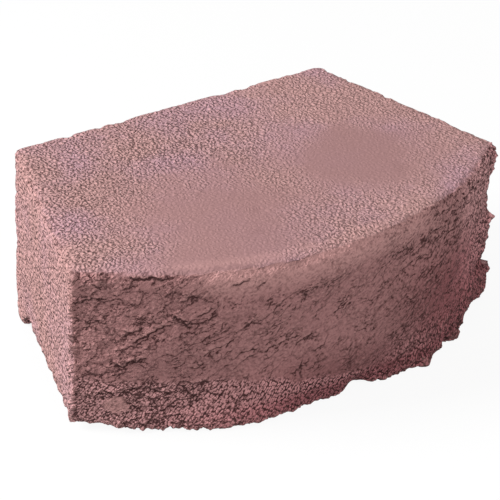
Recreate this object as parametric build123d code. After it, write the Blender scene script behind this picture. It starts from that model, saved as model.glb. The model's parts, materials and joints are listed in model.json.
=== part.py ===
from build123d import *
import os
from math import atan2, cos, degrees, exp, pi, radians, sin, sqrt

# Garden wall block: one solid piece of dry-cast concrete. Its sides taper so that a course can
# curve, its bowed front is a broken face, and a lip under its back edge hooks over the course below.
# Millimetres: X runs across the block, Y from the broken face to the back, Z up.

# Driving dimensions of the casting
FRONT_WIDTH = 292.0  # across the two front corners
BACK_WIDTH = 216.0  # across the back face
SIDE_DEPTH = 136.0  # from the front corners straight back to the back face
HEIGHT = 102.0  # from the bottom bed to the top bed, one course
LIP_DROP = 15.0  # how far the lip hangs below the bottom bed
LIP_TIP = 15.0  # front to back, at the tip of the lip
LIP_ROOT = 26.0  # front to back, where the lip leaves the bed
LIP_FILLET = 5.0  # hollow rounding between the lip and the bed
EDGE_RADIUS = 3.0  # rounding of the moulded edges and of the other edges of the break

# Driving dimensions of the break
FACE_BOW = 54.0  # how far the broken face bulges past the front corners
ARRIS_RADIUS = 6.0  # worn rounding along the top of the broken face
SPARE = 30.0  # concrete ahead of the bulge, which the break takes off
GRID_STEP = 12.0  # spacing of the points that carry the break

# The waves of the break: height, length from crest to crest, lean of the crests in degrees
# up to the right, and how far the wave is shifted along, as a part of its length
BREAK_WAVES = [
    (1.2, 170.0, 75.0, 0.15),
    (1.7, 66.0, 24.0, 0.40),
]

# Single swellings of the break, and hollows where the height is negative: place across from the
# middle and up from the bottom bed, height, and how far it spreads
SWELLS = [
    (-68.0, 0.0, 5.0, 24.0),
    (60.0, 0.0, 6.5, 24.0),
    (150.0, 78.0, -4.0, 26.0),
]

# Chips knocked out of the edges of the break: place in from the right corner and up from the
# bottom bed, radius of the scoop, and how deep it bites into the edge
CHIPS = [
    (0.0, 27.0, 8.0, 6.5),
    (24.0, 0.0, 13.0, 5.5),
    (60.0, 0.0, 7.0, 4.5),
    (132.0, 0.0, 11.0, 7.0),
]

SHARP_ANGLE = 10.0  # degrees between two faces, past which their edge still needs rounding


def casting():
    """The moulded blank: the side profile with its lip, cut to the tapered plan."""
    front = -FACE_BOW - SPARE
    profile = Polyline(
        (front, 0),
        (front, HEIGHT),
        (SIDE_DEPTH, HEIGHT),
        (SIDE_DEPTH, -LIP_DROP),
        (SIDE_DEPTH - LIP_TIP, -LIP_DROP),
        (SIDE_DEPTH - LIP_ROOT, 0),
        close=True,
    )
    half_back = BACK_WIDTH / 2
    taper = (FRONT_WIDTH - BACK_WIDTH) / 2 / SIDE_DEPTH
    half_front = half_back + taper * (SIDE_DEPTH - front)
    plan = Polyline(
        (-half_front, front),
        (half_front, front),
        (half_back, SIDE_DEPTH),
        (-half_back, SIDE_DEPTH),
        close=True,
    )
    bar = extrude(Plane.YZ * make_face(profile), amount=half_front, both=True)
    wedge = extrude(make_face(plan), amount=HEIGHT + LIP_DROP, both=True)
    blank = bar & wedge
    lip_root = blank.edges().filter_by(Axis.X).group_by(Axis.Z)[1].sort_by(Axis.Y)[-1]
    return fillet(lip_root, LIP_FILLET)


def break_depth(x, z):
    """Y of the broken face: the arc of its bow, with the waves and the swellings on it."""
    radius = (FRONT_WIDTH**2 / 4 + FACE_BOW**2) / 2 / FACE_BOW
    depth = radius - FACE_BOW - sqrt(radius**2 - x**2)
    for height, length, lean, shift in BREAK_WAVES:
        across = z * cos(radians(lean)) - x * sin(radians(lean))
        depth += height * sin(2 * pi * (across / length + shift))
    for middle, level, height, spread in SWELLS:
        depth -= height * exp(-((x - middle) ** 2 + (z - level) ** 2) / spread**2)
    return depth


def stations(low, high):
    """Evenly spaced places from low to high, about one grid step apart."""
    count = round((high - low) / GRID_STEP)
    return [low + (high - low) * i / count for i in range(count + 1)]


def break_surface():
    """The wavy surface that the blank is split along, a little wider and taller than the block."""
    half = FRONT_WIDTH / 2 + GRID_STEP
    rows = stations(-GRID_STEP, HEIGHT + GRID_STEP)
    columns = stations(-half, half)
    grid = [[(x, break_depth(x, z), z) for x in columns] for z in rows]
    return Face.make_surface_from_array_of_points(grid, min_deg=3, max_deg=5)


def sharp_edges(solid):
    """The edges of a solid whose two faces meet at an angle."""
    sharp = []
    for edge in solid.edges():
        middle = edge @ 0.5
        sides = [face for face in solid.faces() if any(edge.is_same(other) for other in face.edges())]
        if sides[0].normal_at(middle).get_angle(sides[-1].normal_at(middle)) > SHARP_ANGLE:
            sharp.append(edge)
    return sharp


def split_block():
    """The back piece of the split blank, with the top of its broken face worn round first."""
    pieces = split(casting(), bisect_by=break_surface(), keep=Keep.BOTH)
    block = pieces.solids().sort_by(Axis.Y)[-1]
    top_arris = block.faces().sort_by(Axis.Z)[-1].edges().sort_by(Axis.Y)[0]
    block = block.fillet(ARRIS_RADIUS, [top_arris])
    return block.fillet(EDGE_RADIUS, sharp_edges(block))


def chipped(block):
    """The block with the scoops taken out of its edges, each struck towards the middle of the block."""
    heart = Vector(0, SIDE_DEPTH / 2, HEIGHT / 2)
    for inset, z, radius, bite in CHIPS:
        x = FRONT_WIDTH / 2 - inset
        edge = Vector(x, break_depth(x, z), z)
        outward = (edge - heart).normalized()
        block = block - Pos(edge + outward * (radius - bite)) * Sphere(radius)
    return block.solid()


def stand(block):
    """The block as it stands on a floor: leaning forward on its lip and the foot of its broken face."""
    foot = min(break_depth(x, 0) for x in stations(-FRONT_WIDTH / 2, FRONT_WIDTH / 2))
    lean = degrees(atan2(LIP_DROP, SIDE_DEPTH - LIP_TIP - foot))
    leaning = block.rotate(Axis.X, lean)
    box = leaning.bounding_box()
    return leaning.translate((-box.center().X, -box.center().Y, -box.min.Z))


os.makedirs("parts", exist_ok=True)
export_step(stand(chipped(split_block())), "parts/wall_block.step")
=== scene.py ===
"""Garden wall block: its broken face, worn edges and granular concrete, on a white stage."""

import json
from functools import reduce
from math import atan2, cos, radians, sin
from operator import add, mul

import bpy
from bpy.props import FloatProperty, FloatVectorProperty, PointerProperty
from mathutils import Matrix, Vector

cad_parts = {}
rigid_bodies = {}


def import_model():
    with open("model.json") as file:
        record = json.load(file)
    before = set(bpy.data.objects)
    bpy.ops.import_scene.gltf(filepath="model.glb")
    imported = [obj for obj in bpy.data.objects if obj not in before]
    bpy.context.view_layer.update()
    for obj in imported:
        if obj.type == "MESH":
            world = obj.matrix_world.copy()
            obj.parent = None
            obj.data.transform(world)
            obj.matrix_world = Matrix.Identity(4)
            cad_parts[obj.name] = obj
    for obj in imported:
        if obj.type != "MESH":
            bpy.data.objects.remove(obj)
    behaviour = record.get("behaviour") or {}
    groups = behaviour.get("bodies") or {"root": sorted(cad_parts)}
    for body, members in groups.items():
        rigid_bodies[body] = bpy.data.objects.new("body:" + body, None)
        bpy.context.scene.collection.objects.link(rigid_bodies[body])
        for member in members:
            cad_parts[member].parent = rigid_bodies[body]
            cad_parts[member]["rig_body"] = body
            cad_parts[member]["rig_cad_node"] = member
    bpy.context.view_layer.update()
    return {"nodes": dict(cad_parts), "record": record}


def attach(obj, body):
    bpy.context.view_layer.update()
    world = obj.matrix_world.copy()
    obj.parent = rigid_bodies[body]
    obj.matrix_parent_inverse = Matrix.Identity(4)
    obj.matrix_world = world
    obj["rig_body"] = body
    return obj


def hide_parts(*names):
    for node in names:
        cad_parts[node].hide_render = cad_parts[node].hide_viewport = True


bl_info = {
    "name": "Garden Wall Block",
    "version": (1, 0, 0),
    "blender": (4, 5, 0),
    "location": "View3D > Sidebar > Wall Block",
    "description": "Wears and colours a split-face concrete block and sets its stage",
    "category": "Object",
}

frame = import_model()

NODE = "wall_block"
PIECE = "split_face_block"
SLOT = "rosy_concrete"
MM = 0.001


# The block's own upright axes in mm, taken from its beds, because it stands leaning forward on its lip

MOUNTS = {mount["name"]: mount for mount in frame["record"]["mounts"]}
UP = Vector(MOUNTS["top_bed"]["axis"])
LEAN = atan2(-UP.y, UP.z)
UPRIGHT = Matrix.Rotation(-LEAN, 3, "X")
CORNERS = [UPRIGHT @ vertex.co / MM for vertex in frame["nodes"][NODE].data.vertices]
BED = (UPRIGHT @ Vector(MOUNTS["bottom_bed"]["pos_m"])).z / MM
HEIGHT = (UPRIGHT @ Vector(MOUNTS["top_bed"]["pos_m"])).z / MM - BED
HALF_FRONT = max(point.x for point in CORNERS)
CHORD = max(CORNERS, key=lambda point: point.x).y
BACK = max(point.y for point in CORNERS) - CHORD
BOW = CHORD - min(point.y for point in CORNERS)
BOW_RADIUS = (HALF_FRONT**2 + BOW**2) / 2 / BOW
# The width of the back is taken in a strip of this depth along it
BACK_STRIP = 2
HALF_BACK = max(point.x for point in CORNERS if point.y > CHORD + BACK - BACK_STRIP)
TAPER = (HALF_FRONT - HALF_BACK) / BACK
SIDE_SLANT = (1 + TAPER**2) ** 0.5


def bow(x):
    """Depth of the smooth bow at a place across the block."""
    return BOW_RADIUS - BOW - (BOW_RADIUS**2 - x**2) ** 0.5


# Larger cracks of the break: place across from the middle and up from the bed, length, and lean up
# to the right in degrees
CRACKS = [
    (-136, 85, 16, 20),
    (-110, 100, 24, -3),
    (-119, 66, 14, 38),
    (-109, 65, 26, 34),
    (-94, 72, 15, -40),
    (-83, 77, 13, 22),
    (-76, 54, 20, 30),
    (-87, 42, 11, 13),
    (-120, 46, 20, 24),
    (-38, 60, 18, 53),
    (-24, 78, 18, 31),
    (-38, 48, 26, 18),
    (-24, 47, 13, 31),
    (-25, 27, 11, 80),
    (1, 62, 14, 38),
    (-57, 47, 11, 3),
    (69, 84, 17, 19),
    (48, 71, 10, 15),
    (107, 94, 25, 2),
    (-91, 86, 13, 18),
    (-80, 62, 12, 18),
    (-64, 93, 13, 9),
    (-53, 91, 9, 50),
    (-59, 67, 11, 26),
    (51, 82, 9, -7),
    (61, 72, 9, 18),
    (50, 51, 8, 62),
    (84, 79, 15, 20),
    (93, 85, 16, -5),
    (94, 34, 14, 3),
    (110, 60, 16, 25),
    (120, 80, 14, 30),
    (72, 45, 14, 30),
    (-137, 22, 14, 24),
    (-124, 26, 20, 13),
    (-106, 26, 15, -22),
    (-84, 31, 14, 2),
    (-88, 22, 12, -55),
    (-119, 17, 12, -50),
    (-101, 15, 14, 35),
]

# Crumbly band along the foot of the break: its height on the left, where and how fast it falls,
# and the place and size of a smooth spot in it
BAND_HEIGHT = 33.0
BAND_TURN = -84.0
BAND_FALL = 0.2
SMOOTH_SPOT = (-125.0, 16.0, 7.0)

# Ovals where the top is almost smooth: place across and back from the front corners, half width,
# and half depth
CALM = [(-42, 12, 55, 50), (-65, -25, 55, 28), (62, 30, 52, 40)]

# Nicks in the foot and the ends of the break: place across and up, radius of the scoop, and its bite
NICKS = [
    (HALF_FRONT, 71, 13, 5.5),
    (HALF_FRONT, 40, 5, 1.8),
    (HALF_FRONT, 26, 9, 8.7),
    (137, 26, 7, 5.0),
    (129, 26, 7, 3.5),
    (113, 0, 9, 5.5),
    (84, 0, 6, 5.0),
    (-128, 0, 9, 2.0),
]

# Knuckles that stand out between the nicks: place across and up, height, and spread
KNUCKLES = [(64, 0, 5.0, 9), (96, 0, 3.5, 6), (HALF_FRONT, 49, 2.5, 6), (HALF_FRONT, 66, 2.0, 4)]

# Where the block's own axes start once it is turned upright, and the middle of the block in them
START = (0, CHORD, BED)
HEART = Vector((0, BACK / 2, HEIGHT / 2))

# Zones of the block in mm: each pair goes from where a zone starts to where it is full, across from
# the middle and up from the bed
TOP = {"up": [(HEIGHT - 25, HEIGHT - 12)]}
FINE_TOP = {"across": [(-20, 60)], "up": [(HEIGHT - 8, HEIGHT - 2)]}
RUBBED_ARRIS = {"across": [(-100, -70), (90, 50)], "up": [(80, 95)]}
ROUNDED_ARRIS = {"across": [(-110, -85), (70, 30)]}
COARSE_END = {"across": [(85, 130)]}
COARSE_FOOT = {"across": [(10, 60)], "up": [(40, 6)]}
LOOSE_BAND = {"across": [(-75, -25)]}
FLAKY_LEFT = {"across": [(-40, -120)]}
FLAKY_RIGHT = {"across": [(10, 90)]}
GRAINY_LEFT = {"across": [(-105, -138)]}
DUSTY_RIGHT = {"across": [(0, 50)]}
# The three shaded zones below carry painted shade on the break
SHADED_RIGHT = {"across": [(0, 50), (115, 90)], "up": [(85, 45)]}
SHADED_FOOT = {"across": [(-50, -10), (100, 70)], "up": [(45, 20)]}
SHADED_LEFT = {"across": [(-50, -100)], "up": [(25, 40)]}
PALE_END = {"across": [(80, 140)], "up": [(15, 45)]}
RED_RIM = {"across": [(-60, 40)]}
RED_RIGHT = {"across": [(20, 100)], "up": [(85, 45)]}
RED_FOOT = {"across": [(-130, -20)], "up": [(45, 10)]}
RED_HEEL = {"across": [(-130, -20)], "up": [(16, 8)]}

# Distances in mm from an edge, from where its wear or tint starts to where it is full, and how far the
# rounding of the arris goes
RIM_REACH = (6.0, 0.0)
RED_RIM_REACH = (18.0, 1.0)
EDGE_REACH = (9.0, 1.0)
ROUNDING_REACH = 13

# How steeply the patterns of the break climb to the right, a direction up across its ledges, and a
# short way across its flakes
LEDGE_CLIMB = radians(27)
DUST_CLIMB = radians(35)
GRANULE_CLIMB = radians(55)
OVER_LEDGES = (-0.45, 0, 0.89)
ABOVE = (-0.3, 0.0, 0.6)

# Sizes of the patterns in mm
LUMP = 36.0
LEDGE = 15.0
LEDGE_WANDER = 22.0
FLAKY_PATCH = 15.0
COARSE_FLAKE = 13.0
FINE_FLAKE = 6.0
CROWD_PATCH = 12.0
STONE = 4.6
STONE_WANDER = 3.0
CRACK_STEP = 0.6
CRACK_WANDER = 7.0
SHORT_CRACK = 8.0
LONG_CRACK = 22.0
BAND_WANDER = 14.0
BAND_FADE = 2.5
SPOT_WANDER = 5.0
CALM_WANDER = 22.0
PIT_STEP = 6.5
PIT_PATCH = 22.0
CRUMB = 4.6
SAG = 70.0
CHIP = 13.0
JAG = 9.0
SPLINTER = 4.0
CLOD = 20.0
PINHOLE_STEP = 6.0
KNOCK_STEP = 4.0
KNOCK_PATCH = 15.0
DUST = 1.2
COLOUR_PATCH = 55.0
STAIN = 18.0

# Heights of the patterns in mm
CRACK_JAG = 6
BAND_RAGGED = 6
EDGE_SWELL = 0.3
RIM_SWELL = 1.4
JAG_HEIGHT = 4.5
SPLINTER_HEIGHT = 4
GRAIN_HEIGHT = 1.8

# Faces of the mesh that are made finer: on the break they look forward and lie near its corners or in
# front of them, and on the edges they look along no flat side
BREAK_FACING = -0.2
BREAK_REACH = 12
FLAT_FACING = 0.99

# Points of the casting that are closer than this are merged, in mm
WELD = 0.01

# How many points away the neighbours go that a hollow is told by
HOLLOW_STEPS = 6

# Shine of the concrete
ROUGHNESS = 0.92
SPECULAR = 0.25

# Stage, in metres: the floor and its looks, the lamps, and the spot that the camera looks at. The width
# of its sensor is in mm.
FLOOR_SIZE = 20
WHITE = (1, 1, 1)
SEEN_FLOOR = (0.95, 0.95, 0.95)
FLOOR_GLOW = 0.92
LAMP_AIM = (0, 0, 0.05)
KEY_PLACE = (-1.25, 0.55, 1.0)
KEY_SIZE = 0.7
FILL_PLACE = (-0.1, -1.5, 1.0)
FILL_SIZE = 0.8
LOOK_HEIGHT = 55 * MM
LOOK_RIGHT = -1.1 * MM
LOOK_UP = 1.9 * MM
SENSOR_WIDTH = 36


class Wire:
    """One socket of a node tree. Sums on values add Math nodes, and on vectors Vector Math nodes."""

    def __init__(self, tree, socket=None):
        self.tree = tree
        self.socket = socket

    def add(self, kind, settings=None, sockets=None, output=0):
        """Adds a node: its settings first, then the values or links of its sockets."""
        node = self.tree.nodes.new(kind)
        for name, value in (settings or {}).items():
            setattr(node, name, value)
        for name, value in (sockets or {}).items():
            if isinstance(value, Wire):
                self.tree.links.new(value.socket, node.inputs[name])
            else:
                node.inputs[name].default_value = value
        return Wire(self.tree, node.outputs[output]) if node.outputs else None

    def sum(self, operation, first, second):
        """Adds a Math node for two values, or a Vector Math node if one of them is a vector."""
        wires = [value for value in (first, second) if isinstance(value, Wire)]
        if any(wire.socket.type == "VECTOR" for wire in wires):
            pair = [value if isinstance(value, Wire) or hasattr(value, "__len__") else (value,) * 3
                    for value in (first, second)]
            return self.add("ShaderNodeVectorMath", {"operation": operation}, {0: pair[0], 1: pair[1]})
        return self.add("ShaderNodeMath", {"operation": operation}, {0: first, 1: second})

    def __add__(self, other):
        return self.sum("ADD", self, other)

    def __radd__(self, other):
        return self.sum("ADD", other, self)

    def __sub__(self, other):
        return self.sum("SUBTRACT", self, other)

    def __rsub__(self, other):
        return self.sum("SUBTRACT", other, self)

    def __mul__(self, other):
        return self.sum("MULTIPLY", self, other)

    def __rmul__(self, other):
        return self.sum("MULTIPLY", other, self)

    def __truediv__(self, other):
        return self.sum("DIVIDE", self, other)

    def __rtruediv__(self, other):
        return self.sum("DIVIDE", other, self)

    def __neg__(self):
        return self.sum("MULTIPLY", self, -1.0)

    def __abs__(self):
        return self.add("ShaderNodeMath", {"operation": "ABSOLUTE"}, {0: self})

    def fraction(self):
        return self.add("ShaderNodeMath", {"operation": "FRACT"}, {0: self})

    def sign(self):
        return self.add("ShaderNodeMath", {"operation": "SIGN"}, {0: self})

    def root(self):
        return self.add("ShaderNodeMath", {"operation": "SQRT"}, {0: self})

    def least(self, other):
        return self.sum("MINIMUM", self, other)

    def most(self, other):
        return self.sum("MAXIMUM", self, other)

    def other(self, name):
        """Another output of the node that this wire comes from."""
        return Wire(self.tree, self.socket.node.outputs[name])

    def parts(self):
        """The three numbers of a vector."""
        node = self.add("ShaderNodeSeparateXYZ", {}, {0: self}).socket.node
        return [Wire(self.tree, output) for output in node.outputs]

    def vector(self, x, y, z):
        """A vector of three numbers or wires."""
        return self.add("ShaderNodeCombineXYZ", {}, {0: x, 1: y, 2: z})

    def length(self):
        return self.add("ShaderNodeVectorMath", {"operation": "LENGTH"}, {0: self}, "Value")

    def along(self, direction):
        """How far a vector goes in a direction."""
        return self.add(
            "ShaderNodeVectorMath", {"operation": "DOT_PRODUCT"}, {0: self, 1: direction}, "Value"
        )

    def turned(self, axis, angle):
        """A vector turned about one of the axes through the origin."""
        return self.add(
            "ShaderNodeVectorRotate",
            {"rotation_type": axis + "_AXIS"},
            {"Vector": self, "Angle": angle},
        )

    def rise(self, low, high):
        """0 below low, 1 above high, and smooth between. low may be above high."""
        if low > high:
            return 1 - self.rise(high, low)
        return self.add(
            "ShaderNodeMapRange",
            {"interpolation_type": "SMOOTHSTEP"},
            {"Value": self, "From Min": low, "From Max": high},
        )

    def noise(self, size, detail=2.0, roughness=0.5):
        """Cloudy noise about 0, from about -1 to 1. size is that of its lumps, in the vector's units."""
        cloud = self.add(
            "ShaderNodeTexNoise",
            {"noise_dimensions": "3D"},
            {"Vector": self, "Scale": 1 / size, "Detail": detail, "Roughness": roughness},
        )
        return (cloud - 0.5) * 2

    def cells(self, size, feature="F1", dimensions="3D", randomness=1.0):
        """Distance to the nearest of scattered points, or to the edge of its cell, as a part of size."""
        return self.add(
            "ShaderNodeTexVoronoi",
            {"feature": feature, "voronoi_dimensions": dimensions},
            {"Vector": self, "Scale": 1 / size, "Randomness": randomness},
            "Distance",
        )

    def mixed(self, first, second, blend="MIX"):
        """A colour between two, or blended in another way, with this value as the share of the second."""
        return self.add(
            "ShaderNodeMix",
            {"data_type": "RGBA", "blend_type": blend},
            {0: self, 6: full(first), 7: full(second)},
            2,
        )


def full(colour):
    """A colour with its alpha, or the wire that carries one."""
    return colour if isinstance(colour, Wire) else (*colour, 1.0)


# Settings that a user would change


class BlockSettings(bpy.types.PropertyGroup):
    """Wear of the block."""

    voxel: FloatProperty(
        name="Mesh size", description="Spacing of the mesh away from the broken face",
        default=3.5 * MM, min=0.5 * MM, unit="LENGTH",
    )
    lumps: FloatProperty(
        name="Lumps", description="Height of the lumps of the broken face",
        default=2.3 * MM, min=0, unit="LENGTH",
    )
    ledges: FloatProperty(
        name="Ledges", description="Height of the slanting ledges of the broken face",
        default=1.15 * MM, min=0, unit="LENGTH",
    )
    cracks: FloatProperty(
        name="Cracks", description="Depth of the cracks in the broken face",
        default=1.0 * MM, min=0, unit="LENGTH",
    )
    flakes: FloatProperty(
        name="Flakes", description="Thickness of the flakes that came off the broken face",
        default=0.4 * MM, min=0, unit="LENGTH",
    )
    rounding: FloatProperty(
        name="Arris rounding", description="How deep the middle of the arris is rubbed away",
        default=3.0 * MM, min=0, unit="LENGTH",
    )
    pits: FloatProperty(
        name="Pits", description="Depth of the pits left by lost grains",
        default=0.9 * MM, min=0, unit="LENGTH",
    )
    edge_wear: FloatProperty(
        name="Edge wear", description="How deep the edges have crumbled",
        default=1.8 * MM, min=0, unit="LENGTH",
    )


class ConcreteSettings(bpy.types.PropertyGroup):
    """Colours of the concrete."""

    rose: FloatVectorProperty(
        name="Rose", description="Main colour of the moulded faces",
        default=(0.50, 0.285, 0.27), size=3, min=0, max=1, subtype="COLOR",
    )
    mauve: FloatVectorProperty(
        name="Mauve", description="Cooler patches of the moulded faces",
        default=(0.49, 0.285, 0.325), size=3, min=0, max=1, subtype="COLOR",
    )
    # Tan is also the painted light on the sides and the painted highlight on the ridges
    tan: FloatVectorProperty(
        name="Tan", description="Paler grains, sides, ridges and rubbed edges",
        default=(0.70, 0.385, 0.36), size=3, min=0, max=1, subtype="COLOR",
    )
    broken: FloatVectorProperty(
        name="Broken", description="Fresh colour of the broken face",
        default=(0.42, 0.205, 0.2), size=3, min=0, max=1, subtype="COLOR",
    )
    plate: FloatVectorProperty(
        name="Plate", description="Smooth middle of the top, under the mould's plate",
        default=(0.335, 0.18, 0.177), size=3, min=0, max=1, subtype="COLOR",
    )
    knob: FloatVectorProperty(
        name="Knob", description="Pale granules of the crumbly band, and the right end of the broken face",
        default=(1.0, 0.53, 0.53), size=3, min=0, max=1, subtype="COLOR",
    )
    warm: FloatVectorProperty(
        name="Warm", description="Redder tint along the foot and the right end of the broken face",
        default=(0.92, 0.63, 0.69), size=3, min=0, max=1, subtype="COLOR",
    )
    # Also the colour of the painted shade in voids, gaps, hollows and cracks, under flakes and on parts of
    # the break
    shade_and_stain: FloatVectorProperty(
        name="Pit", description="Dark colour between the grains",
        default=(0.06, 0.02, 0.02), size=3, min=0, max=1, subtype="COLOR",
    )
    grain: FloatProperty(
        name="Grain", description="Size of the sand grains",
        default=2.7 * MM, min=0.2 * MM, unit="LENGTH",
    )
    granule: FloatProperty(
        name="Granule", description="Size of the granules of the crumbly band",
        default=1.25 * MM, min=0.2 * MM, unit="LENGTH",
    )


class StageSettings(bpy.types.PropertyGroup):
    """Floor, light and camera."""

    floor: FloatVectorProperty(
        name="Floor", description="Colour of the floor",
        default=(0.5, 0.5, 0.5), size=3, min=0, max=1, subtype="COLOR",
    )
    key: FloatProperty(
        name="Key light", description="Power of the lamp behind and to the left, in watts",
        default=34.0, min=0,
    )
    fill: FloatProperty(
        name="Fill light", description="Power of the lamp in front, in watts",
        default=9.0, min=0,
    )
    sky: FloatProperty(
        name="Sky", description="Strength of the even light from all round",
        default=0.35, min=0,
    )
    azimuth: FloatProperty(
        name="Azimuth", description="Camera's turn about the block, from straight ahead",
        default=radians(-32.1), subtype="ANGLE",
    )
    elevation: FloatProperty(
        name="Elevation", description="Camera's height above the horizon",
        default=radians(27.6), subtype="ANGLE",
    )
    roll: FloatProperty(
        name="Roll", description="Camera's turn about its own line of sight",
        default=radians(-1.05), subtype="ANGLE",
    )
    distance: FloatProperty(
        name="Distance", description="From the camera to the block",
        default=1.558, min=0.1, unit="LENGTH",
    )
    lens: FloatProperty(
        name="Lens", description="Focal length of the camera, in millimetres",
        default=189.4, min=10, subtype="DISTANCE_CAMERA",
    )


# Broken and worn shape


def choose(*objects):
    """Selects only these objects, and makes the last one active."""
    bpy.ops.object.select_all(action="DESELECT")
    for item in objects:
        item.select_set(True)
    bpy.context.view_layer.objects.active = objects[-1]


def copy_of_node():
    """A free copy of the CAD block with its loose triangles merged."""
    choose(frame["nodes"][NODE])
    bpy.ops.object.duplicate()
    piece = bpy.context.object
    bpy.ops.object.parent_clear(type="CLEAR_KEEP_TRANSFORM")
    del piece["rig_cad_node"]
    del piece["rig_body"]
    piece.name = PIECE
    piece.data.name = PIECE
    bpy.ops.object.mode_set(mode="EDIT")
    bpy.ops.mesh.select_all(action="SELECT")
    bpy.ops.mesh.remove_doubles(threshold=WELD * MM)
    bpy.ops.object.mode_set(mode="OBJECT")
    return piece


def apply_modifier(piece, kind, settings):
    """Adds a modifier with these settings to a piece and applies it."""
    choose(piece)
    bpy.ops.object.modifier_add(type=kind)
    modifier = piece.modifiers[-1]
    for name, value in settings.items():
        setattr(modifier, name, value)
    if "FINISHED" not in bpy.ops.object.modifier_apply(modifier=modifier.name):
        raise RuntimeError(f"The {kind} modifier could not be applied")


def on_break(polygon):
    """Whether a face of the mesh is on the broken face or the edges round it."""
    place = UPRIGHT @ polygon.center / MM
    return (UPRIGHT @ polygon.normal).y < BREAK_FACING and place.y < CHORD + BREAK_REACH


def on_edge(polygon):
    """Whether a face of the mesh is on the break or on a rounded edge, which looks along no flat side."""
    facing = UPRIGHT @ polygon.normal
    along = max(abs(facing.x) * SIDE_SLANT, abs(facing.y), abs(facing.z))
    return on_break(polygon) or along < FLAT_FACING


def refine(piece, chosen):
    """Halves the mesh size on the faces that a test chooses."""
    choose(piece)
    for polygon in piece.data.polygons:
        polygon.select = chosen(polygon)
    bpy.ops.object.mode_set(mode="EDIT")
    bpy.ops.mesh.select_mode(type="FACE")
    bpy.ops.mesh.subdivide(number_cuts=1, smoothness=0)
    bpy.ops.object.mode_set(mode="OBJECT")


def zone(place, limits):
    """1 where a zone of the block is full, and 0 outside it."""
    ways = dict(zip(("across", "back", "up"), place.parts()))
    return reduce(mul, [ways[way].rise(*pair) for way, pairs in limits.items() for pair in pairs])


def away_from(place, across, up):
    """Distance in mm from a spot of the break, seen straight from the front."""
    x, _, z = place.parts()
    return ((x - across) * (x - across) + (z - up) * (z - up)).root()


class Edges:
    """Distances in mm from a place on the surface to three kinds of edge, and where each is worn."""

    def __init__(self, place):
        x, y, z = place.parts()
        centre = BOW_RADIUS - BOW
        top = abs(HEIGHT - z)
        bottom = abs(z)
        back = abs(BACK - y)
        side = abs(HALF_FRONT - TAPER * y - abs(x)) / SIDE_SLANT
        face = abs(BOW_RADIUS - (x * x + (y - centre) * (y - centre)).root())
        # The foot and the ends of the break, its arris at the top, and the moulded edges
        self.rim = face.most(side).least(face.most(bottom))
        self.arris = (top * top + face * face).root()
        pairs = [(top, side), (top, back), (side, back), (side, bottom)]
        moulded = reduce(Wire.least, [one.most(other) for one, other in pairs])
        self.near_rim = self.rim.rise(*RIM_REACH)
        self.near_arris = self.arris.rise(*EDGE_REACH)
        self.near_moulded = moulded.rise(*EDGE_REACH)


class Break:
    """Patterns of the broken face. A shifted place gives a pattern a lie of its own."""

    def __init__(self, place):
        self.band = foot_band(place)
        # The right end, and the foot beside it, are coarser
        self.far = zone(place, COARSE_END).most(zone(place, COARSE_FOOT))
        self.stones = (place + place.noise(STONE_WANDER, 2.0, 0.6) * 1.5).cells(STONE)
        self.rubbed = zone(place, RUBBED_ARRIS).most(smooth_spot(place))
        loose = zone(place, LOOSE_BAND)
        self.gravel = self.band * (0.6 + loose * 0.4)
        whole = (1 - self.band * loose) * (1 - self.rubbed * 0.7)
        # Its first axis runs along the ledges, up to the right
        streak = place.turned("Y", LEDGE_CLIMB) * (0.5, 0.6, 1.0)
        across = streak.parts()[2]
        self.lump = streak.noise(LUMP)
        saw = (across / LEDGE + streak.noise(LEDGE_WANDER, 5.0, 0.65) * 2.0).fraction()
        self.ledge = saw.rise(0.84, 1.0) - saw
        self.flaky = (place + (30, 60, 90)).noise(FLAKY_PATCH).rise(-0.1, 0.3) * whole
        coarse, fine = flakes(place)
        self.plates = coarse.rise(-0.06, 0.06) + fine.rise(-0.1, 0.1) * 0.5 - 0.75
        self.over, self.fade = crack_field(place)
        near = abs(self.over)
        self.lips = self.fade * (self.over.rise(-0.6, 0.9) - 0.5) * near.rise(5.0, 0.0)
        self.groove = self.fade * near.rise(0.8, 0.0)
        # Where the edges of the flakes show
        crowd = 0.45 + zone(place, FLAKY_LEFT) * 0.2 + zone(place, FLAKY_RIGHT) * 0.25
        crowd = crowd + self.fade * near.rise(7.0, 1.0) * 0.5 + self.band * 0.1
        crowd = crowd + (place + (50, 10, 90)).noise(CROWD_PATCH, 3.0, 0.6) * 0.55
        self.crowd = (crowd * whole).rise(0.2, 0.75)


def crack_lines(place):
    """The larger cracks as jagged lines, laid flat, with their strength noted on them."""
    lines = place.add("GeometryNodeJoinGeometry")
    for across, up, length, lean in CRACKS:
        run = cos(radians(lean)) * length / 2
        climb = sin(radians(lean)) * length / 2
        ends = {"Start": (across - run, 0, up - climb), "End": (across + run, 0, up + climb)}
        line = place.add("GeometryNodeCurvePrimitiveLine", {}, ends)
        place.tree.links.new(line.socket, lines.socket.node.inputs[0])
    lines = place.add(
        "GeometryNodeResampleCurve", {"mode": "LENGTH"}, {"Curve": lines, "Length": CRACK_STEP}
    )
    # A crack fades at its ends, and a long one is stronger
    part = place.add("GeometryNodeSplineParameter")
    size = place.add("GeometryNodeSplineLength")
    strength = abs(part * 2 - 1).rise(1.0, 0.6) * (0.6 + size.rise(SHORT_CRACK, LONG_CRACK) * 0.6)
    lines = store(lines, "FLOAT", {"strength": strength})
    spot = place.add("GeometryNodeInputPosition")
    sideways = spot.noise(CRACK_WANDER, 5.0, 0.7) * CRACK_JAG
    upward = (spot + (70, 30, 50)).noise(CRACK_WANDER, 5.0, 0.7) * CRACK_JAG
    jag = place.vector(sideways, 0.0, upward)
    lines = place.add("GeometryNodeSetPosition", {}, {"Geometry": lines, "Offset": jag})
    return place.add("GeometryNodeCurveToMesh", {}, {"Curve": lines})


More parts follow.
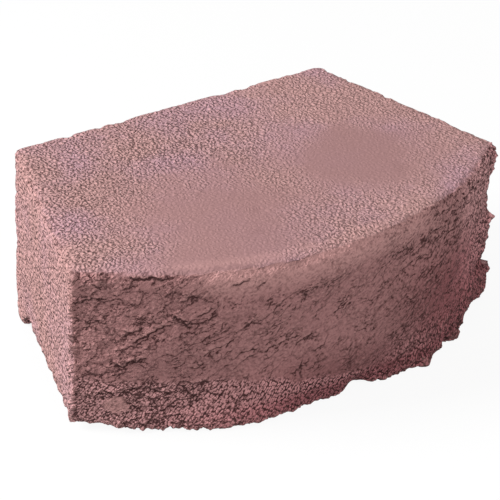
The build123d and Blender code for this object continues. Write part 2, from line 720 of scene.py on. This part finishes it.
def crack_field(place):
    """Distance to the nearest of the larger cracks, positive above it, and how strong it is there."""
    lines = crack_lines(place)
    x, _, z = place.parts()
    flat = place.vector(x, 0.0, z)
    nearest = place.add(
        "GeometryNodeProximity", {"target_element": "EDGES"}, {"Geometry": lines, "Sample Position": flat}
    )
    over = nearest.other("Distance") * (flat - nearest).along(OVER_LEDGES).sign()
    index = place.add(
        "GeometryNodeSampleNearest", {"domain": "POINT"}, {"Geometry": lines, "Sample Position": flat}
    )
    stored = place.add("GeometryNodeInputNamedAttribute", {"data_type": "FLOAT"}, {"Name": "strength"})
    fade = place.add("GeometryNodeSampleIndex", {}, {"Geometry": lines, "Value": stored, "Index": index})
    return over, fade


def flakes(place):
    """Two jagged fields, coarse and fine. Their zero lines are the edges of the flakes of the break."""
    streak = place.turned("Y", LEDGE_CLIMB) * (0.55, 0.7, 1.0)
    return streak.noise(COARSE_FLAKE, 5.0, 0.55), (streak + (50, 20, 80)).noise(FINE_FLAKE, 4.0, 0.55)


def foot_band(place):
    """1 in the crumbly band along the foot of the break, which thins to nothing towards the right."""
    x, _, z = place.parts()
    ragged = place.noise(BAND_WANDER, 3.0, 0.6) * BAND_RAGGED
    top = BAND_HEIGHT - (x - BAND_TURN).most(0.0) * BAND_FALL + ragged
    return (z - top).rise(BAND_FADE, -BAND_FADE) * (1 - smooth_spot(place))


def smooth_spot(place):
    """1 on the smooth spot in the crumbly band."""
    across, up, size = SMOOTH_SPOT
    away = away_from(place, across, up) + place.noise(SPOT_WANDER) * 3
    return away.rise(size, size * 0.7)


def top_calm(place):
    """1 in the middle of the top, where the mould's plate left the concrete almost smooth."""
    x, y, _ = place.parts()
    rings = []
    for across, back, half_width, half_depth in CALM:
        u = (x - across) / half_width
        v = (y - back) / half_depth
        rings.append((u * u + v * v).root())
    away = reduce(Wire.least, rings) + place.noise(CALM_WANDER, 4.0, 0.6) * 0.6
    return away.rise(1.5, 0.45) * zone(place, TOP)


def nicked(place):
    """Pushes the points that lie inside a scoop out to its surface."""
    for across, up, radius, bite in NICKS:
        edge = Vector((across, bow(across), up))
        centre = edge + (edge - HEART).normalized() * (radius - bite)
        away = place - tuple(centre)
        distance = away.length()
        place = place + away * ((radius - distance).most(0.0) / distance)
    return place


def knuckled(place):
    """Height of the knuckles at a place on the break, in mm."""
    heights = [away_from(place, across, up).rise(spread, 0.0) * height
               for across, up, height, spread in KNUCKLES]
    return reduce(add, heights)


def store(shape, kind, notes):
    """Stores fields of a shape under these names."""
    for name, value in notes.items():
        shape = shape.add(
            "GeometryNodeStoreNamedAttribute",
            {"data_type": kind, "domain": "POINT"},
            {"Geometry": shape, "Name": name, "Value": value},
        )
    return shape


def relief(place, split, broken_face, edges, settings):
    """How far in mm the surface stands out at a place. Below 0 it is worn away."""
    band = broken_face.band * split
    pits = place.cells(PIT_STEP).rise(0.34, 0.12) * place.noise(PIT_PATCH, 1.0).rise(0.0, 0.4)
    pits = pits * (settings.pits / MM)
    crumb = place.noise(CRUMB, 3.0, 0.65)
    rough = (
        broken_face.lump * (settings.lumps / MM)
        + broken_face.ledge * broken_face.flaky * (settings.ledges / MM)
        + broken_face.plates * broken_face.crowd * (settings.flakes / MM)
        + (broken_face.lips - broken_face.groove * 0.5) * (settings.cracks / MM)
        - pits
        + crumb * (0.3 + band * 0.2 + broken_face.far * 1.2)
        + (0.4 - broken_face.stones) * (band * 0.25 + broken_face.far * 0.8)
    )
    smooth = place.noise(SAG) * 0.35 + crumb * 0.22 - pits * 0.4
    crumbled = place.noise(CHIP, 3.0, 0.6).rise(-0.15, 0.55) * (settings.edge_wear / MM)
    rounded = (1 - edges.arris / ROUNDING_REACH).most(0.0)
    rounded = rounded * rounded * zone(place, ROUNDED_ARRIS) * (settings.rounding / MM)
    worn = edges.near_moulded * (EDGE_SWELL - crumbled) - edges.near_arris * crumbled - rounded
    jagged = place.noise(JAG, 3.0, 0.6) * JAG_HEIGHT
    splinters = place.noise(SPLINTER, 2.0, 0.6) * SPLINTER_HEIGHT
    torn = edges.near_rim * (RIM_SWELL + jagged + splinters)
    depth = split * rough * edges.arris.rise(-2.0, 7.0) + (1 - split) * smooth + worn + torn
    return depth + knuckled(place) * edges.rim.rise(12.0, 4.0)


def grain_strength(place, split, side, calm, edges):
    """How much the sand grains stand out: less on the top's middle and right, and on the break."""
    moulded = (1 - calm * 0.85) * (1 - zone(place, FINE_TOP) * 0.35) + side * 0.45
    broken = 0.25 + place.noise(CLOD).rise(-0.1, 0.3) * 0.25 + zone(place, GRAINY_LEFT) * 0.2
    return ((1 - split) * moulded + split * broken) * (1 - edges.near_arris * 0.3)


def relief_tree(settings):
    """Geometry nodes that break and wear the surface, and note where they did it for the material."""
    tree = bpy.data.node_groups.new("relief", "GeometryNodeTree")
    for way in ("INPUT", "OUTPUT"):
        tree.interface.new_socket("Geometry", in_out=way, socket_type="NodeSocketGeometry")
    start = Wire(tree)
    shape = start.add("NodeGroupInput")
    position = start.add("GeometryNodeInputPosition")
    normal = start.add("GeometryNodeInputNormal")
    place = position.turned("X", -LEAN) * (1 / MM) - START
    facing = normal.turned("X", -LEAN)
    sideways, backwards, _ = facing.parts()
    split = (-backwards).rise(0.15, 0.6)
    side = abs(sideways).rise(0.5, 0.9) * (1 - split)
    broken_face = Break(place)
    edges = Edges(place)
    calm = top_calm(place)

    shape = store(shape, "FLOAT_VECTOR", {"rest": place})
    notes = {
        "split": split,
        "side": side,
        "near_edge": edges.near_moulded,
        "rim": edges.rim.rise(*RED_RIM_REACH),
        "coarse": grain_strength(place, split, side, calm, edges),
        "calm": calm * (1 - split),
        "gravel": broken_face.gravel.most(broken_face.far * 0.75) * split,
        "rubbed": broken_face.rubbed * split,
        "crowd": broken_face.crowd,
        "crack": broken_face.over,
        "fade": broken_face.fade * split,
    }
    shape = store(shape, "FLOAT", notes)
    depth = relief(place, split, broken_face, edges, settings)
    moved = nicked(place + facing * depth) + START
    # Nothing goes below the floor
    x, y, z = (moved * MM).turned("X", LEAN).parts()
    final = place.vector(x, y, z.most(0.0))
    shape = start.add("GeometryNodeSetPosition", {}, {"Geometry": shape, "Position": final})

    # Hollows and ridges, from how far each point lies behind the mean of its neighbours; the material
    # paints shade in the hollows and a highlight on the ridges
    mean = start.add(
        "GeometryNodeBlurAttribute",
        {"data_type": "FLOAT_VECTOR"},
        {0: position, "Iterations": HOLLOW_STEPS},
    )
    hollow = (mean - position).along(normal) * (1 / MM)
    shape = store(shape, "FLOAT", {"hollow": hollow})
    start.add("NodeGroupOutput", {}, {0: shape})
    return tree


class WALLBLOCK_OT_block(bpy.types.Operator):
    """Make the worn block over the plain casting"""

    bl_idname = "wall_block.make_block"
    bl_label = "Make Block"

    def execute(self, context):
        settings = context.scene.block_settings
        piece = copy_of_node()
        apply_modifier(piece, "REMESH", {"mode": "VOXEL", "voxel_size": settings.voxel})
        refine(piece, on_edge)
        refine(piece, on_break)
        apply_modifier(piece, "NODES", {"node_group": relief_tree(settings)})
        bpy.ops.object.shade_smooth()
        piece.data.materials.clear()
        piece.data.materials.append(concrete(context.scene.concrete_settings))
        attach(piece, "root")
        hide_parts(NODE)
        return {"FINISHED"}


# Concrete


class Sand:
    """Sand grains: rounded bumps with painted shade between them, drawn out along the sides of the mould.
    """

    def __init__(self, place, side, near_edge, grain):
        x, y, z = place.parts()
        drawn = place.vector(x, y * (1 - side.rise(0.49, 0.51) * 0.3), z)
        cloud = drawn.add(
            "ShaderNodeTexNoise", {}, {"Vector": drawn, "Scale": 0.5 / grain, "Detail": 2.0}, "Color"
        )
        bend = drawn.add("ShaderNodeRGBToBW", {}, {0: cloud}) * (grain * 0.8)
        border = (drawn + bend).cells(grain, "DISTANCE_TO_EDGE")
        speck = drawn.noise(grain * 0.7, 1.0)
        valley = border.rise(0.16, 0.02) * speck.rise(0.05, -0.2)
        pinhole = drawn.cells(PINHOLE_STEP).rise(0.17, 0.08)
        knock = (place + (5, 5, 5)).cells(KNOCK_STEP).rise(0.4, 0.2)
        knock = knock * place.noise(KNOCK_PATCH).rise(0.0, 0.3)
        # Painted shade in the valleys between the grains, in the pinholes, and in the knocks near the
        # edges
        self.dark = (valley * 0.85).most(pinhole * 0.8).most(knock * near_edge * 0.8)
        self.pale = border.rise(0.05, 0.25) * speck.rise(-0.35, 0.2)
        self.swell = border.rise(0.0, 0.4) * 0.8 + speck * 0.3


class Granules:
    """Granules of the crumbly band, on the break laid flat, and drawn out up to the right."""

    def __init__(self, place, dust, size):
        x, y, z = place.parts()
        around = x.sum("ARCTAN2", x, BOW_RADIUS - BOW - y) * BOW_RADIUS
        u, _, v = (place.vector(around, 0.0, z).turned("Y", GRANULE_CLIMB) * (0.6, 1.0, 1.0)).parts()
        from_middle = place.vector(u, v, 0.0).cells(size, dimensions="2D", randomness=0.7)
        # Painted shade in the gaps between the granules
        self.gaps = (from_middle + dust * 0.1).rise(0.46, 0.54)
        self.knob = from_middle.rise(0.5, 0.42)
        self.swell = 0.5 - from_middle


def flake_shadows(place):
    """Painted shadows along the edges of the flakes, only where a flake lies above its edge."""
    coarse, fine = flakes(place)
    coarse_above, fine_above = flakes(place + ABOVE)
    coarse_shadow = abs(coarse).rise(0.055, 0.01) * (coarse_above - coarse).rise(-0.05, 0.03)
    fine_shadow = abs(fine).rise(0.08, 0.02) * (fine_above - fine).rise(-0.05, 0.04)
    return coarse_shadow.most(fine_shadow * 0.9)


def painted_shade_of_break(place):
    """Where painted shade darkens the break: right of the middle, low in the middle, and on the left."""
    right = zone(place, SHADED_RIGHT) * 0.7
    left = zone(place, SHADED_LEFT) * 0.35
    return right.most(zone(place, SHADED_FOOT)).most(left)


def red_of_break(place, rim):
    """Where the break is redder: along its rim, on the right, and along the foot."""
    low = zone(place, RED_FOOT) * 0.45 + zone(place, RED_HEEL) * 0.55
    return (rim * zone(place, RED_RIM)).most(zone(place, RED_RIGHT)).most(low)


def concrete(settings):
    """Coloured-through dry-cast concrete: sand grains, painted shade in the voids between them, and
    stains.
    """
    material = bpy.data.materials.new(SLOT)
    material.use_nodes = True
    material.node_tree.nodes.clear()
    start = Wire(material.node_tree)

    def note(name, output="Fac"):
        """What the relief noted on the mesh under this name."""
        return start.add("ShaderNodeAttribute", {"attribute_name": name}, {}, output)

    place = note("rest", "Vector")
    split = note("split")
    side = note("side")
    near_edge = note("near_edge")
    hollow = note("hollow")
    coarse = note("coarse")
    gravel = note("gravel")
    sand = Sand(place, side, near_edge, settings.grain / MM)
    dust = (place.turned("Y", DUST_CLIMB) * (0.5, 0.7, 1.0)).noise(DUST, 1.0)
    granules = Granules(place, dust, settings.granule / MM)
    groove = abs(note("crack")).rise(0.7, 0.1) * note("fade")
    # Painted shade in the larger cracks, and painted shadow under the edges of the flakes
    crack = groove * 0.9 + flake_shadows(place) * note("crowd") * split

    # The skin of the mould and the break, with their patches and stains, and painted shade and light
    patch = place.noise(COLOUR_PATCH, 3.0, 0.55)
    stain = place.noise(STAIN, 4.0, 0.6)
    pale_end = zone(place, PALE_END) * split
    skin = patch.rise(-0.25, 0.35).mixed(settings.rose, settings.mauve)
    body = split.mixed(skin, settings.broken)
    # Painted shade on parts of the break
    body = (painted_shade_of_break(place) * split * 0.33).mixed(body, settings.shade_and_stain)
    body = pale_end.mixed(body, settings.knob)
    body = (note("calm") * 0.9).mixed(body, settings.plate)
    body = (note("rubbed") * 0.5).mixed(body, settings.tan)
    # Paler along the worn moulded edges, and painted light on the sides
    body = (near_edge * 0.15 + side * 0.4).mixed(body, settings.tan)
    body = (stain.rise(0.05, 0.6) * 0.12).mixed(body, settings.shade_and_stain)

    # Pale grains and granules, and the red tint over them
    body = (sand.pale * coarse * 0.5).least(1.0).mixed(body, settings.tan)
    redder = red_of_break(place, note("rim")) * split * (1 - pale_end * 0.65)
    knob = gravel * granules.knob * (1 - redder * zone(place, LOOSE_BAND) * 0.55)
    body = knob.mixed(body, settings.knob)
    body = (redder * 0.95).mixed(body, settings.warm, "MULTIPLY")

    # Painted shade in the voids, gaps, hollows and cracks and under the flakes, dark dust, and painted
    # highlight on the ridges
    dusty = split * (0.25 + gravel * 0.4 + zone(place, DUSTY_RIGHT) * 0.3)
    dark = sand.dark * coarse + granules.gaps * gravel + hollow.rise(0.02, 0.4) * 0.15 + crack
    dark = dark + dust.rise(0.0, -0.35) * dusty
    colour = dark.least(0.97).mixed(body, settings.shade_and_stain)
    # Painted highlight on the ridges
    colour = ((-hollow).rise(0.05, 0.4) * 0.2).mixed(colour, settings.tan)

    swell = sand.swell * coarse + granules.swell * gravel + dust * split * 0.4 - groove * 0.4
    normal = start.add(
        "ShaderNodeBump", {}, {"Strength": 1.0, "Distance": GRAIN_HEIGHT * MM, "Height": swell}
    )
    surface = start.add(
        "ShaderNodeBsdfPrincipled",
        {},
        {"Base Color": colour, "Roughness": ROUGHNESS, "Specular IOR Level": SPECULAR, "Normal": normal},
    )
    start.add("ShaderNodeOutputMaterial", {}, {"Surface": surface})
    return material


# Stage


def add_lamp(name, place, size, power):
    """A square soft lamp that points at the block."""
    bpy.ops.object.select_all(action="DESELECT")
    bpy.ops.object.light_add(type="AREA", location=place)
    lamp = bpy.context.object
    lamp.name = name
    lamp.data.size = size
    lamp.data.energy = power
    lamp.rotation_euler = (Vector(LAMP_AIM) - Vector(place)).to_track_quat("-Z", "Y").to_euler()


def seen_directly(start):
    """1 for what the camera sees, itself or in a mirror or through glass, and 0 for light on the block."""
    path = start.add("ShaderNodeLightPath").socket.node
    rays = [Wire(start.tree, path.outputs[name])
            for name in ("Is Camera Ray", "Is Glossy Ray", "Is Transmission Ray")]
    return reduce(Wire.most, rays)


def floor_paint(colour):
    """A pale floor that looks white, and keeps part of the shadow that falls on it."""
    material = bpy.data.materials.new("white_floor")
    material.use_nodes = True
    material.node_tree.nodes.clear()
    start = Wire(material.node_tree)
    shown = seen_directly(start)
    grey = start.add("ShaderNodeBsdfDiffuse", {}, {"Color": full(colour)})
    pale = start.add("ShaderNodeBsdfDiffuse", {}, {"Color": full(SEEN_FLOOR)})
    glow = start.add("ShaderNodeEmission", {}, {"Color": full(WHITE), "Strength": 1.0})
    paint = start.add("ShaderNodeMixShader", {}, {0: shown, 1: grey, 2: pale})
    floor = start.add("ShaderNodeMixShader", {}, {0: shown * FLOOR_GLOW, 1: paint, 2: glow})
    start.add("ShaderNodeOutputMaterial", {}, {"Surface": floor})
    return material


def white_world(strength):
    """Even light on the block, and white behind it."""
    world = bpy.data.worlds.new("white_room")
    bpy.context.scene.world = world
    world.use_nodes = True
    world.node_tree.nodes.clear()
    start = Wire(world.node_tree)
    dim = start.add("ShaderNodeBackground", {}, {"Color": full(WHITE), "Strength": strength})
    white = start.add("ShaderNodeBackground", {}, {"Color": full(WHITE), "Strength": 1.0})
    light = start.add("ShaderNodeMixShader", {}, {0: seen_directly(start), 1: dim, 2: white})
    start.add("ShaderNodeOutputWorld", {}, {"Surface": light})


def add_camera(settings):
    """A long lens at the photograph's angle."""
    azimuth, elevation = settings.azimuth, settings.elevation
    back = Vector((sin(azimuth) * cos(elevation), -cos(azimuth) * cos(elevation), sin(elevation)))
    right = Vector((cos(azimuth), sin(azimuth), 0))
    up = back.cross(right)
    aim = Vector((0, 0, LOOK_HEIGHT)) + right * LOOK_RIGHT + up * LOOK_UP
    x_axis = right * cos(settings.roll) + up * sin(settings.roll)
    y_axis = up * cos(settings.roll) - right * sin(settings.roll)
    turn = Matrix((x_axis, y_axis, back)).transposed()
    bpy.ops.object.camera_add(location=aim + back * settings.distance, rotation=turn.to_euler())
    camera = bpy.context.object
    camera.data.lens = settings.lens
    camera.data.sensor_width = SENSOR_WIDTH
    bpy.context.scene.camera = camera


class WALLBLOCK_OT_stage(bpy.types.Operator):
    """Set the floor, the light and the camera"""

    bl_idname = "wall_block.set_stage"
    bl_label = "Set Stage"

    def execute(self, context):
        settings = context.scene.stage_settings
        bpy.ops.object.select_all(action="DESELECT")
        bpy.ops.mesh.primitive_plane_add(size=FLOOR_SIZE)
        floor = context.object
        floor.name = "floor"
        floor.data.materials.append(floor_paint(settings.floor))
        add_lamp("key_lamp", KEY_PLACE, KEY_SIZE, settings.key)
        add_lamp("fill_lamp", FILL_PLACE, FILL_SIZE, settings.fill)
        white_world(settings.sky)
        add_camera(settings)
        context.scene.view_settings.view_transform = "Standard"
        return {"FINISHED"}


class WALLBLOCK_PT_panel(bpy.types.Panel):
    """Lists the steps that make the block and its stage"""

    bl_idname = "WALLBLOCK_PT_panel"
    bl_label = "Wall Block"
    bl_space_type = "VIEW_3D"
    bl_region_type = "UI"
    bl_category = "Wall Block"

    def draw(self, context):
        steps = [
            (WALLBLOCK_OT_block, (context.scene.block_settings, context.scene.concrete_settings)),
            (WALLBLOCK_OT_stage, (context.scene.stage_settings,)),
        ]
        for step, groups in steps:
            box = self.layout.box()
            for group in groups:
                for name in group.__annotations__:
                    box.prop(group, name)
            box.operator(step.bl_idname)


CLASSES = (
    BlockSettings,
    ConcreteSettings,
    StageSettings,
    WALLBLOCK_OT_block,
    WALLBLOCK_OT_stage,
    WALLBLOCK_PT_panel,
)


def register():
    for item in CLASSES:
        bpy.utils.register_class(item)
    bpy.types.Scene.block_settings = PointerProperty(type=BlockSettings)
    bpy.types.Scene.concrete_settings = PointerProperty(type=ConcreteSettings)
    bpy.types.Scene.stage_settings = PointerProperty(type=StageSettings)


def unregister():
    del bpy.types.Scene.stage_settings
    del bpy.types.Scene.concrete_settings
    del bpy.types.Scene.block_settings
    for item in reversed(CLASSES):
        bpy.utils.unregister_class(item)


def main():
    register()
    bpy.ops.wall_block.make_block()
    bpy.ops.wall_block.set_stage()


if __name__ == "__main__":
    main()
